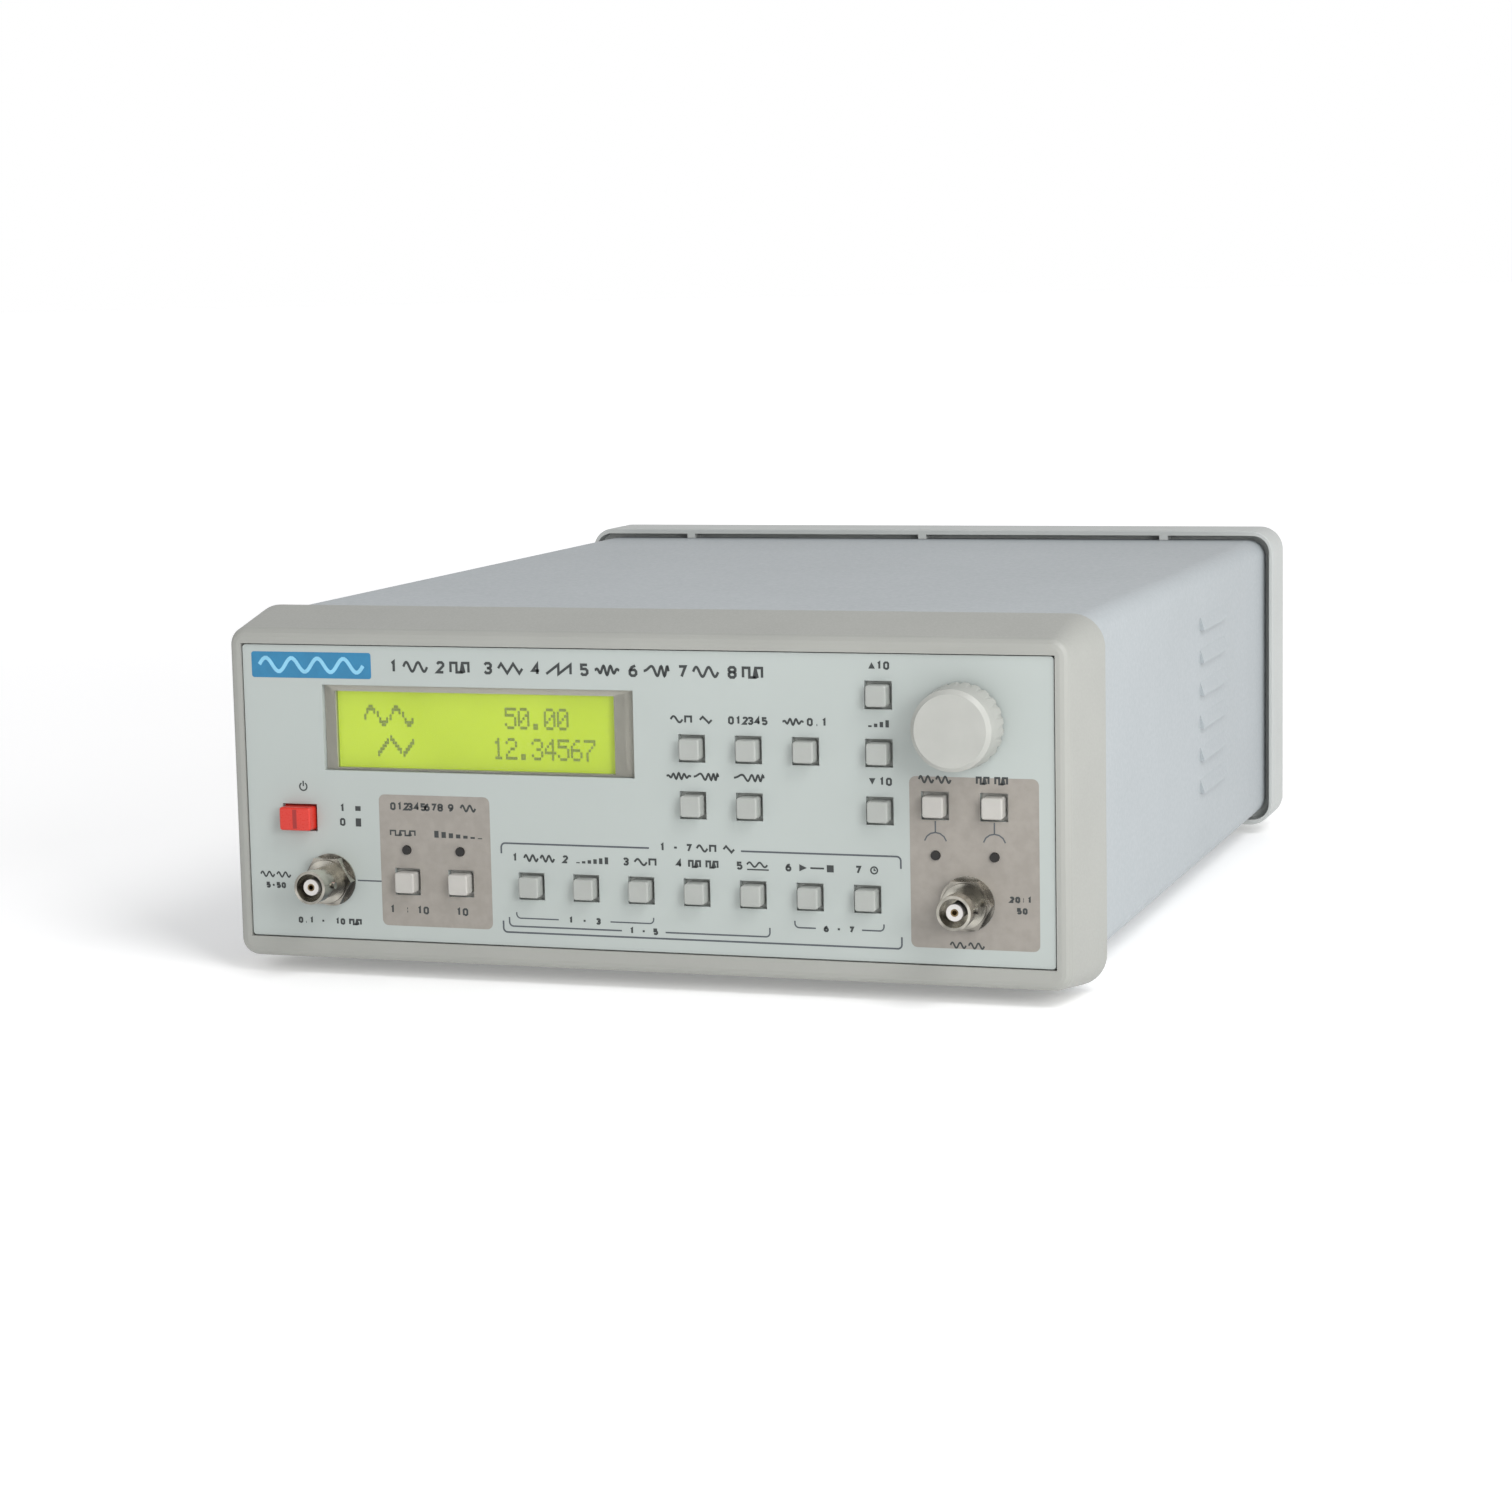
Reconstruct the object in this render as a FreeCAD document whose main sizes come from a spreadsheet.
import FreeCAD, Part
import math
import os
import re
import Sketcher

# Bench function generator with a built-in counter, in millimetres.
#
# A painted steel sleeve slides over a sheet-steel tray and is held between two moulded bezels.
# The front bezel frames an aluminium panel with the display, 19 keys, the power button, the
# tuning knob, four indicator lamps and two coaxial sockets. The rear bezel is a deep rim
# around a steel panel with the mains inlet and three more sockets.
#
# +X is to the right as one faces the front panel, +Y runs back into the case and +Z is up.
# The origin is on the surface that the feet stand on, under the middle of the outline.

SIZES = {
    # Outline
    "overall_depth": 330.0,  # front bezel's face to rear bezel's rim
    "foot_height": 7.0,
    # Steel sleeve
    "case_width": 249.0,
    "case_height": 98.0,
    "case_wall": 1.2,
    "case_corner": 6.0,
    "louvre_length": 42.0,
    "louvre_height": 4.6,
    "louvre_rise": 1.3,
    "louvre_skin": 0.6,
    "louvre_pitch": 10.6,
    "louvre_setback": 190.0,  # front bezel's face to the louvres' front ends
    "louvre_first": 29.0,  # top louvre above the middle of the case
    # Front bezel
    "front_bezel_depth": 26.0,
    "bezel_side_reach": 5.5,  # beyond the sleeve
    "bezel_top_reach": 1.7,
    "bezel_bottom_reach": 5.2,
    "bezel_taper": 4.9,  # how far the sides and the top draw in towards the front
    "bezel_bottom_taper": 3.5,
    "bezel_corner": 9.5,
    "bezel_front_corner": 4.8,
    "ridge_rounding": 2.2,
    "back_rounding": 0.6,
    "cavity_margin": 0.9,
    "cavity_step": 16.0,
    "seat_depth": 3.0,
    "seat_clearance": 0.3,
    "ledge_reach": 6.0,
    "ledge_thickness": 3.0,
    "boss_inset": 3.7,
    "boss_radius": 2.8,
    "boss_spacing_z": 56.0,
    # Front panel
    "land_side": 3.9,  # front bezel's flat face round the panel
    "land_top": 4.5,
    "land_bottom": 6.0,
    "panel_gap": 0.35,
    "panel_recess": 0.6,
    "panel_thickness": 2.0,
    "panel_corner": 1.0,
    # Rear bezel and rear panel
    "rear_bezel_depth": 24.0,
    "rim_reach": 3.5,  # beyond the sleeve
    "rim_corner": 8.0,
    "rim_rounding": 3.0,
    "rim_edge": 0.5,
    "rim_recess": 14.7,
    "rim_wall": 4.0,
    "rim_flange": 3.0,
    "rim_gap_side": 2.2,
    "rim_gap_top": 1.7,
    "rim_rib_width": 3.0,
    "rim_rib_spacing": 89.0,
    "rim_rib_clearance": 0.15,
    "rear_opening_inset_side": 9.5,  # inside the sleeve's outline
    "rear_opening_inset_top": 9.0,
    "rear_panel_inset_side": 4.0,
    "rear_panel_inset_top": 3.5,
    "rear_panel_thickness": 1.5,
    "rear_screw_spacing_z": 56.0,
    # Tray
    "tray_sheet": 1.5,
    "tray_wall_height": 9.0,
    "tray_clearance": 0.2,
    "tray_boss_height": 8.0,
    "tray_boss_radius": 3.5,
    # Feet
    "foot_radius": 8.0,
    "foot_taper": 1.5,
    "foot_spacing_x": 196.0,
    "foot_spacing_y": 236.0,
    "foot_counterbore": 3.6,
    "foot_counterbore_depth": 4.5,
    # Screws: M3 with a pan head
    "screw_radius": 1.5,
    "screw_head_radius": 2.8,
    "screw_head": 2.0,
    "screw_length": 6.0,
    "screw_reach": 1.6,
    "screw_clearance": 0.2,
    "thread_clearance": 0.05,
    # Boards
    "board_thickness": 1.6,
    "board_spacer": 8.0,
    "board_clearance": 1.5,
    "board_hole_inset": 6.0,
    "key_board_margin": 7.0,  # inside the panel's outline
    "main_board_width": 156.0,
    "main_board_depth": 226.0,
    "main_board_x": 38.0,
    "main_board_setback": 52.0,
    # Keys
    "key_side": 6.0,
    "key_rise": 3.0,
    "key_travel": 1.0,
    "key_clearance": 0.95,
    "key_flange": 9.4,
    "key_flange_thickness": 1.0,
    "key_flange_gap": 0.1,
    "key_corner": 0.8,
    "key_edge": 0.5,
    "key_stem": 3.6,
    "key_stem_engagement": 1.8,
    "stem_clearance": 0.2,
    "key_pitch": 16.7,
    "key_row_pitch": 16.1,
    "key_first_x": -32.4,
    "entry_keys_x": 17.1,
    "key_bottom_row": -25.5,
    "key_low_row": -0.6,
    "range_keys_x": 71.7,
    "counter_keys_x": -71.0,
    "output_keys_x": 87.5,
    "output_keys_z": 1.3,
    "switch_side": 10.0,
    "switch_height": 4.0,
    "stem_end_room": 0.4,  # below a pushed stem in its switch
    # Power button and its switch
    "power_x": -104.7,
    "power_z": -7.6,
    "power_width": 9.8,
    "power_height": 6.8,
    "power_rise": 3.8,
    "power_clearance": 0.6,
    "power_travel": 2.8,
    "power_stem": 5.0,
    "power_stem_engagement": 5.0,
    "power_switch_width": 15.0,
    "power_switch_height": 13.0,
    "power_switch_depth": 22.0,
    # Tuning knob and encoder
    "knob_x": 95.4,
    "knob_z": 23.75,
    "knob_radius": 12.0,
    "knob_face_radius": 11.3,
    "knob_length": 12.0,
    "knob_gap": 1.0,
    "knob_edge": 1.2,
    "knob_flutes": 24.0,
    "knob_flute_radius": 1.1,
    "knob_flute_bite": 0.4,
    "knob_recess_radius": 7.2,
    "knob_recess": 3.6,
    "shaft_radius": 3.0,
    "shaft_clearance": 0.05,
    "shaft_engagement": 8.0,
    "shaft_end_clearance": 0.5,
    "shaft_depth": 5.0,
    "bushing_radius": 4.5,
    "bushing_reach": 4.2,
    "encoder_width": 13.0,
    "encoder_nut_thickness": 2.2,
    "encoder_nut_radius": 6.5,
    # Display
    "window_x": -48.2,
    "window_z": 19.05,
    "window_width": 96.0,
    "window_height": 25.0,
    "window_gap": 0.15,
    "display_gap": 0.2,  # behind the panel
    "window_thickness": 1.4,
    "surround_thickness": 0.7,
    "display_x": -49.6,
    "display_drop": 0.6,  # display's middle below the window's
    "display_width": 86.2,
    "display_height": 22.4,
    "glass_margin": 2.0,
    "display_frame_wall": 1.0,
    "display_board_width": 104.0,
    "display_board_height": 34.0,
    # Indicator lamps
    "lamp_radius": 1.3,
    "lamp_rise": 0.6,
    "lamp_clearance": 0.1,
    "lamp_length": 5.0,
    "lamp_collar": 1.9,
    "lamp_collar_height": 1.0,
    "lamp_pin": 0.5,
    "lamp_pin_pitch": 1.27,
    "counter_lamps_z": -16.2,
    "output_lamps_z": -12.5,
    # Coaxial sockets
    "socket_z": -25.7,
    "input_socket_x": -95.3,
    "output_socket_x": 96.4,
    "barrel_radius": 4.83,
    "barrel_bore": 4.05,
    "barrel_reach": 15.0,
    "barrel_nose": 4.6,
    "barrel_undercut": 0.28,
    "barrel_bore_depth": 10.0,
    "lug_radius": 1.0,
    "lug_reach": 5.55,
    "lug_setback": 5.7,
    "socket_thread": 6.3,
    "socket_thread_reach": 4.2,
    "socket_flange_radius": 8.3,
    "socket_flange": 3.0,
    "socket_tail_radius": 4.0,
    "socket_tail": 12.0,
    "socket_nut": 3.0,
    "socket_nut_radius": 7.7,
    "socket_washer": 0.6,
    "socket_washer_radius": 7.7,
    "socket_fit": 0.05,
    "insulator_radius": 2.35,
    "insulator_setback": 1.0,
    "contact_radius": 1.05,
    "contact_bore": 0.68,
    "contact_bore_depth": 5.0,
    "contact_tail": 4.0,
    "rear_socket_x": 30.0,
    "rear_socket_pitch": 30.0,
    "rear_socket_z": 16.0,
    # Mains inlet
    "inlet_x": -84.0,
    "inlet_z": 2.0,
    "inlet_flange_width": 32.0,
    "inlet_flange_height": 40.0,
    "inlet_flange": 2.5,
    "inlet_body_width": 27.0,
    "inlet_body_height": 35.0,
    "inlet_body_depth": 26.0,
    "inlet_socket_width": 24.2,
    "inlet_socket_height": 16.4,
    "inlet_socket_depth": 16.0,
    "inlet_socket_rise": 7.5,
    "inlet_pin_width": 2.0,
    "inlet_pin_height": 4.0,
    "inlet_pin_length": 14.0,
    "inlet_pin_spacing": 7.0,
    "inlet_pin_offset": 2.0,
    "inlet_tab": 8.0,
    "fuse_drawer_width": 20.0,
    "fuse_drawer_height": 8.0,
    "fuse_drawer_depth": 20.0,
    "fuse_drawer_drop": 11.5,
    "fuse_drawer_clearance": 0.2,
    "fuse_drawer_gap": 0.1,
    "fuse_drawer_lip": 0.8,
    "fuse_drawer_grip": 1.4,
    "fuse_tray_width": 6.0,
    "fuse_tray_wall": 2.0,
    # Transformer
    "core_x": -74.0,
    "core_setback": 214.0,
    "core_width": 60.0,
    "core_height": 50.0,
    "core_stack": 24.0,
    "core_limb": 10.0,
    "winding_overhang": 12.0,
    "winding_clearance": 0.3,
    "clamp_sheet": 1.2,
    "clamp_foot": 12.0,
    # Parts on the boards
    "capacitor_x": -18.0,
    "capacitor_pitch": 24.0,
    "capacitor_setback": 246.0,
    "capacitor_radius": 9.0,
    "capacitor_height": 32.0,
    "heatsink_x": 78.0,
    "heatsink_setback": 240.0,
    "heatsink_width": 60.0,
    "heatsink_height": 32.0,
    "heatsink_base": 3.0,
    "heatsink_fin": 10.0,
    "heatsink_fin_sheet": 1.5,
    "regulator_width": 10.0,
    "regulator_height": 15.0,
    "regulator_depth": 4.5,
    "regulator_pitch": 18.0,
    "regulator_leg": 0.9,
    "regulator_leg_length": 4.0,
    "ribbon_x": 20.0,
    "ribbon_width": 26.0,
    "ribbon_thickness": 1.0,
    "ribbon_bend": 6.0,
    "ribbon_drop": 18.0,  # ribbon below the middle of the panel
    "header_width": 30.0,
    "header_side": 8.0,
    "header_height": 6.0,
    "header_setback": 14.0,
}

# Lengths that follow from the sizes. The y values are places, and so are those that end in _z.
DERIVED = {
    "front_reach": "max(knob_gap + knob_length; barrel_reach) - panel_recess",
    "front_y": "(front_reach - overall_depth) / 2",
    "rear_y": "front_y + overall_depth",
    "case_z": "foot_height + case_height / 2",
    "case_inner_width": "case_width - 2 * case_wall",
    "case_inner_height": "case_height - 2 * case_wall",
    "bezel_width": "case_width + 2 * bezel_side_reach",
    "bezel_height": "case_height + bezel_top_reach + bezel_bottom_reach",
    "bezel_drop": "(bezel_bottom_reach - bezel_top_reach) / 2",
    "panel_width": "bezel_width - 2 * (bezel_taper + land_side)",
    "panel_height": "bezel_height - bezel_taper - bezel_bottom_taper - land_top - land_bottom",
    "panel_drop": "bezel_drop + (bezel_taper - bezel_bottom_taper + land_top - land_bottom) / 2",
    "panel_z": "case_z - panel_drop",
    "panel_front_y": "front_y + panel_recess",
    "panel_back_y": "panel_front_y + panel_thickness",
    "panel_opening_width": "panel_width + 2 * panel_gap",
    "panel_opening_height": "panel_height + 2 * panel_gap",
    "ledge_back": "panel_recess + panel_thickness + ledge_thickness",
    "case_front_y": "front_y + front_bezel_depth - seat_depth",
    "rim_width": "case_width + 2 * rim_reach",
    "rim_height": "case_height + 2 * rim_reach",
    "rear_opening_width": "case_width - 2 * rear_opening_inset_side",
    "rear_opening_height": "case_height - 2 * rear_opening_inset_top",
    "rear_panel_width": "case_width - 2 * rear_panel_inset_side",
    "rear_panel_height": "case_height - 2 * rear_panel_inset_top",
    "flange_y": "rear_y - rim_recess - rim_flange",
    "case_back_y": "flange_y - seat_clearance",
    "rear_panel_y": "flange_y - rear_panel_thickness",
    "tray_width": "case_inner_width - 2 * (case_corner - case_wall)",
    "tray_z": "foot_height + case_wall + tray_clearance",
    "tray_top_z": "tray_z + tray_sheet",
    "tray_front_y": "front_y + cavity_step",
    "main_board_z": "tray_top_z + tray_boss_height",
    "main_board_top_z": "main_board_z + board_thickness",
    "main_board_y": "front_y + main_board_setback",
    "key_board_y": "panel_back_y + board_spacer",
    "key_board_back_y": "key_board_y + board_thickness",
    "key_board_width": "case_inner_width - 2 * board_clearance",
    "key_board_height": "panel_height - 2 * key_board_margin",
    "switch_front_y": "key_board_y - switch_height",
    "switch_well": "key_stem_engagement + key_travel + stem_end_room",
    "power_switch_well": "power_stem_engagement + power_travel + stem_end_room",
    "boss_x": "case_inner_width / 2 - boss_inset",
    "display_frame_y": "panel_back_y + display_gap",
    "surround_y": "display_frame_y - surround_thickness",
    "window_y": "surround_y - window_thickness",
    "display_board_y": "key_board_y - board_clearance - board_thickness",
    "window_world_z": "panel_z + window_z",
    "display_z": "window_world_z - display_drop",
    "glass_width": "display_width + 2 * glass_margin",
    "glass_height": "display_height + 2 * glass_margin",
    "knob_world_z": "panel_z + knob_z",
    "knob_back_y": "panel_front_y - knob_gap",
    "thread_bore": "screw_radius + thread_clearance",
    "screw_hole": "screw_radius + screw_clearance",
    "rear_screw_x": "(rear_opening_width + rear_panel_width) / 4",
    "inlet_world_z": "case_z + inlet_z",
    "inlet_rim_y": "flange_y + inlet_flange",
    "drawer_face_y": "inlet_rim_y + fuse_drawer_gap",
    "core_y": "front_y + core_setback",
    "core_middle_z": "tray_top_z + core_height / 2",
    "heatsink_y": "front_y + heatsink_setback",
    "socket_hole": "socket_thread + screw_clearance",
    "shaft_bore": "shaft_radius + shaft_clearance",
}

document = FreeCAD.newDocument("function_generator")
sheet = document.addObject("Spreadsheet::Sheet", "sizes")
for row, (size_name, size_value) in enumerate(SIZES.items(), start=1):
    sheet.set(f"A{row}", size_name)
    sheet.set(f"B{row}", str(size_value))
    sheet.setAlias(f"B{row}", size_name)
document.recompute()

probe = document.addObject("App::FeaturePython", "probe")
probe.addProperty("App::PropertyFloat", "result")

sub_parts = []


# ---------------------------------------------------------------- formulas and small helpers


def formula(text):
    """The text as a FreeCAD expression: sizes point at the sheet, derived lengths are written out."""

    def word(match):
        name = match.group(0)
        if name in DERIVED:
            return "(" + formula(DERIVED[name]) + ")"
        return "sizes." + name if name in SIZES else name

    return re.sub(r"[a-z_][a-z_0-9]*", word, str(text))


def number(text):
    """The value of a formula now. Sketches start from it, and their constraints then hold it."""
    probe.setExpression("result", formula(text))
    probe.recompute()
    return probe.result


def bind(item, prop, text):
    item.setExpression(prop, formula(text))


def place(item, x="0", y="0", z="0", turn=None):
    """Puts an object at a place given by formulas, after an optional turn about an axis."""
    if turn:
        item.Placement = FreeCAD.Placement(FreeCAD.Vector(), FreeCAD.Rotation(*turn))
    for axis, text in zip("xyz", (x, y, z)):
        bind(item, "Placement.Base." + axis, text)
    return item


def keep(item, label):
    """Marks an object as a sub-part: its label names its file."""
    item.Label = label
    sub_parts.append(item)
    return item


FRONT_TO_BACK = (FreeCAD.Vector(1, 0, 0), -90)  # turns an object's own Z to point along +Y
BACK_TO_FRONT = (FreeCAD.Vector(1, 0, 0), 90)


# ---------------------------------------------------------------- Part primitives and booleans


def block(width, depth, height, x="0", y="0", z="0", name="block"):
    """A box of formulas, centred on x and z, that starts at y and runs back."""
    item = document.addObject("Part::Box", name)
    bind(item, "Length", width)
    bind(item, "Width", depth)
    bind(item, "Height", height)
    return place(item, f"{x} - ({width}) / 2", y, f"{z} - ({height}) / 2")


def slab(width, depth, height, x="0", y="0", z="0", name="slab"):
    """A box of formulas, centred on x, that starts at y and stands on z."""
    return place(block(width, depth, height, name=name), f"{x} - ({width}) / 2", y, z)


def rod(radius, length, x="0", y="0", z="0", turn=FRONT_TO_BACK, name="rod"):
    """A cylinder of formulas that starts at its place and runs back, or as the turn says."""
    item = document.addObject("Part::Cylinder", name)
    bind(item, "Radius", radius)
    bind(item, "Height", length)
    return place(item, x, y, z, turn)


def upright(radius, height, x="0", y="0", z="0", name="upright"):
    """A vertical cylinder that stands on its place."""
    return rod(radius, height, x, y, z, turn=None, name=name)


def hexagon(corner_radius, length, x="0", y="0", z="0", turn=FRONT_TO_BACK, name="hexagon"):
    item = document.addObject("Part::Prism", name)
    item.Polygon = 6
    bind(item, "Circumradius", corner_radius)
    bind(item, "Height", length)
    return place(item, x, y, z, turn)


def joined(items, name="joined"):
    """One solid out of several that touch or overlap."""
    if len(items) == 1:
        return items[0]
    item = document.addObject("Part::MultiFuse", name)
    item.Shapes = items
    item.Refine = True
    return item


def without(base, tools, name="without"):
    item = document.addObject("Part::Cut", name)
    item.Base = base
    item.Tool = joined(tools)
    return item


def together(items, name="group"):
    """Separate solids that share a node."""
    item = document.addObject("Part::Compound", name)
    item.Links = items
    return item


# ---------------------------------------------------------------- PartDesign bodies

# The way a sketch plane's normal points along its world axis.
PLANE_SIGN = {"XZ_Plane": "-", "XY_Plane": "", "YZ_Plane": ""}


def new_body(label):
    return keep(document.addObject("PartDesign::Body", label), label)


def sketch_on(body, plane="XZ_Plane", offset="0"):
    """An empty sketch in a body, parallel to an origin plane and offset along its world axis."""
    sketch = body.newObject("Sketcher::SketchObject", body.Label + "_sketch")
    support = [item for item in body.Origin.OriginFeatures if item.Role == plane][0]
    sketch.AttachmentSupport = (support, [""])
    sketch.MapMode = "FlatFace"
    bind(sketch, "AttachmentOffset.Base.z", f"{PLANE_SIGN[plane]}({offset})")
    return sketch


def hold(sketch, dimensions):
    """Adds dimensions to a sketch, each one's arguments and formula, and ties them to the sizes."""
    first = sketch.ConstraintCount
    sketch.addConstraint([Sketcher.Constraint(*kind, number(value)) for kind, value in dimensions])
    for index, (kind, value) in enumerate(dimensions, start=first):
        bind(sketch, f"Constraints[{index}]", value)


def polygon(sketch, points):
    """A closed outline whose corners are pairs of formulas."""
    count = len(points)
    spots = [FreeCAD.Vector(number(x), number(y), 0) for x, y in points]
    first = sketch.GeometryCount
    sketch.addGeometry([Part.LineSegment(spots[i], spots[(i + 1) % count]) for i in range(count)])
    after = [first + (i + 1) % count for i in range(count)]
    joints = [Sketcher.Constraint("Coincident", first + i, 2, after[i], 1) for i in range(count)]
    sketch.addConstraint(joints)
    across = [(("DistanceX", -1, 1, first + i, 1), points[i][0]) for i in range(count)]
    upward = [(("DistanceY", -1, 1, first + i, 1), points[i][1]) for i in range(count)]
    hold(sketch, across + upward)


def rectangle(sketch, width, height, x="0", z="0"):
    left, right = f"{x} - ({width}) / 2", f"{x} + ({width}) / 2"
    low, high = f"{z} - ({height}) / 2", f"{z} + ({height}) / 2"
    polygon(sketch, [(left, low), (right, low), (right, high), (left, high)])


def rounded_rectangle(sketch, width, height, corner, x="0", z="0"):
    """A rectangle whose corners are arcs: four sides and four arcs, each tangent to the next."""
    left, right = f"{x} - ({width}) / 2", f"{x} + ({width}) / 2"
    low, high = f"{z} - ({height}) / 2", f"{z} + ({height}) / 2"
    radius = number(corner)
    x0, x1, z0, z1 = number(left), number(right), number(low), number(high)
    middles = [(x1 - radius, z0 + radius), (x1 - radius, z1 - radius)]
    middles += [(x0 + radius, z1 - radius), (x0 + radius, z0 + radius)]
    normal = FreeCAD.Vector(0, 0, 1)
    arcs = []
    for turn, (across, up) in enumerate(middles):
        ring = Part.Circle(FreeCAD.Vector(across, up, 0), normal, radius)
        start = (turn - 1) * math.pi / 2
        arcs.append(Part.ArcOfCircle(ring, start, start + math.pi / 2))
    sides = [Part.LineSegment(arcs[i - 1].EndPoint, arcs[i].StartPoint) for i in range(4)]
    first = sketch.GeometryCount
    sketch.addGeometry(arcs + sides)
    constraints = []
    for i in range(4):
        side = first + 4 + i
        constraints.append(Sketcher.Constraint("Tangent", first + (i - 1) % 4, 2, side, 1))
        constraints.append(Sketcher.Constraint("Tangent", side, 2, first + i, 1))
        constraints.append(Sketcher.Constraint("Horizontal" if i % 2 == 0 else "Vertical", side))
    sketch.addConstraint(constraints)
    bottom, right_side, top, left_side = range(first + 4, first + 8)
    hold(sketch, [(("Radius", first + i), corner) for i in range(4)] + [
        (("DistanceY", -1, 1, bottom, 1), low),
        (("DistanceX", -1, 1, right_side, 1), right),
        (("DistanceY", -1, 1, top, 1), high),
        (("DistanceX", -1, 1, left_side, 1), left),
    ])


def circle(sketch, radius, x="0", z="0"):
    centre = FreeCAD.Vector(number(x), number(z), 0)
    index = sketch.addGeometry(Part.Circle(centre, FreeCAD.Vector(0, 0, 1), number(radius)))
    middle = [(("DistanceX", -1, 1, index, 3), x), (("DistanceY", -1, 1, index, 3), z)]
    hold(sketch, [(("Radius", index), radius)] + middle)


def sketched(body, kind, sketch, length, backwards=False):
    """A Pad or Pocket of a sketch, checked to have added or removed material."""
    before = body.Shape.Volume if body.Tip else 0.0
    feature = body.newObject("PartDesign::" + kind, f"{body.Label}_{kind.lower()}")
    feature.Profile = sketch
    bind(feature, "Length", length)
    feature.Reversed = backwards
    document.recompute()
    change = feature.Shape.Volume - before
    if (change <= 0) == (kind == "Pad"):
        raise RuntimeError(f"{feature.Name} changed {body.Label} by {change:.3f} mm3")
    return feature


def pad(body, sketch, length):
    """Material from a sketch towards +Y, or towards the normal of one on another plane."""
    across = sketch.AttachmentSupport[0][0].Role == "XZ_Plane"
    return sketched(body, "Pad", sketch, length, backwards=across)


def pocket(body, sketch, length):
    """A cut from a sketch towards +Y, or towards the normal of one on another plane."""
    across = sketch.AttachmentSupport[0][0].Role == "XZ_Plane"
    return sketched(body, "Pocket", sketch, length, backwards=not across)


def turned(body, points):
    """A revolution about the body's Y axis. Points are pairs of radius and place along the axis."""
    sketch = sketch_on(body, "XY_Plane")
    polygon(sketch, points)
    axis = [item for item in body.Origin.OriginFeatures if item.Role == "Y_Axis"][0]
    feature = body.newObject("PartDesign::Revolution", body.Label + "_revolution")
    feature.Profile = sketch
    feature.ReferenceAxis = (axis, [""])
    feature.Angle = 360
    document.recompute()
    return feature


def rounded(body, radius, wanted, kind="Fillet"):
    """Fillets or chamfers the edges of a body that a test picks."""
    base = body.Tip
    box = base.Shape.optimalBoundingBox(False)
    numbered = enumerate(base.Shape.Edges, start=1)
    edges = [f"Edge{i}" for i, edge in numbered if wanted(edge, box)]
    feature = body.newObject("PartDesign::" + kind, f"{body.Label}_{kind.lower()}")
    feature.Base = (base, edges)
    bind(feature, "Radius" if kind == "Fillet" else "Size", radius)
    document.recompute()
    if "Invalid" in feature.State:
        raise RuntimeError(f"{feature.Name} failed on {edges}")


def near(one, other):
    """True within the slack that a curved shape's box may have."""
    return abs(one - other) < 0.05


def runs_back(edge):
    """True for a straight edge along Y."""
    return near(edge.BoundBox.XLength, 0) and near(edge.BoundBox.ZLength, 0)


def long_corner(edge, box):
    """True for the edges along Y at the four corners of the shape's box."""
    middle = edge.CenterOfMass
    at_side = near(middle.x, box.XMin) or near(middle.x, box.XMax)
    at_end = near(middle.z, box.ZMin) or near(middle.z, box.ZMax)
    return runs_back(edge) and at_side and at_end


def front_edge(edge, box):
    """True for the edges of the face that looks along -Y."""
    return near(edge.BoundBox.YMax, box.YMin)


def back_edge(edge, box):
    """True for the edges of the face that looks along +Y."""
    return near(edge.BoundBox.YMin, box.YMax)


# ---------------------------------------------------------------- case


def make_front_bezel():
    """Moulded frame that widens backwards, with a ledge behind the panel and a seat for the sleeve."""
    body = new_body("front_bezel")
    place(body, y="front_y", z="case_z")
    ridge = [f"ridge_rounding * {share}" for share in (0, 0.134, 0.5, 1)]
    stations = list(zip(ridge, reversed(ridge)))
    stations += [("front_bezel_depth - back_rounding", "0"), ("front_bezel_depth", "back_rounding")]
    outlines = [bezel_outline(body, depth, inset) for depth, inset in stations]
    loft = body.newObject("PartDesign::AdditiveLoft", "front_bezel_loft")
    loft.Profile = outlines[0]
    loft.Sections = outlines[1:]
    loft.Ruled = True
    document.recompute()
    recess = sketch_on(body)
    rectangle(recess, "panel_opening_width", "panel_opening_height", z="-panel_drop")
    pocket(body, recess, "panel_recess + panel_thickness")
    opening = sketch_on(body, offset="panel_recess + panel_thickness")
    inside = "panel_opening_{0} - 2 * ledge_reach"
    rectangle(opening, inside.format("width"), inside.format("height"), z="-panel_drop")
    pocket(body, opening, "ledge_thickness")
    cavity = sketch_on(body, offset="ledge_back")
    height = "panel_opening_height + 2 * cavity_margin"
    rectangle(cavity, "case_inner_width", height, z="-panel_drop")
    pocket(body, cavity, "cavity_step - ledge_back")
    wide_cavity = sketch_on(body, offset="cavity_step")
    rectangle(wide_cavity, "case_inner_width", "case_inner_height")
    pocket(body, wide_cavity, "front_bezel_depth - cavity_step")
    seat = sketch_on(body, offset="front_bezel_depth - seat_depth")
    width, height = "case_width + 2 * seat_clearance", "case_height + 2 * seat_clearance"
    rounded_rectangle(seat, width, height, "case_corner + seat_clearance")
    pocket(body, seat, "seat_depth")
    for x, z in boss_places():
        boss = sketch_on(body, offset="ledge_back")
        circle(boss, "boss_radius", x, f"{z} - panel_drop")
        circle(boss, "thread_bore", x, f"{z} - panel_drop")
        pad(body, boss, "panel_recess + panel_thickness + board_spacer - ledge_back")


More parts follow.
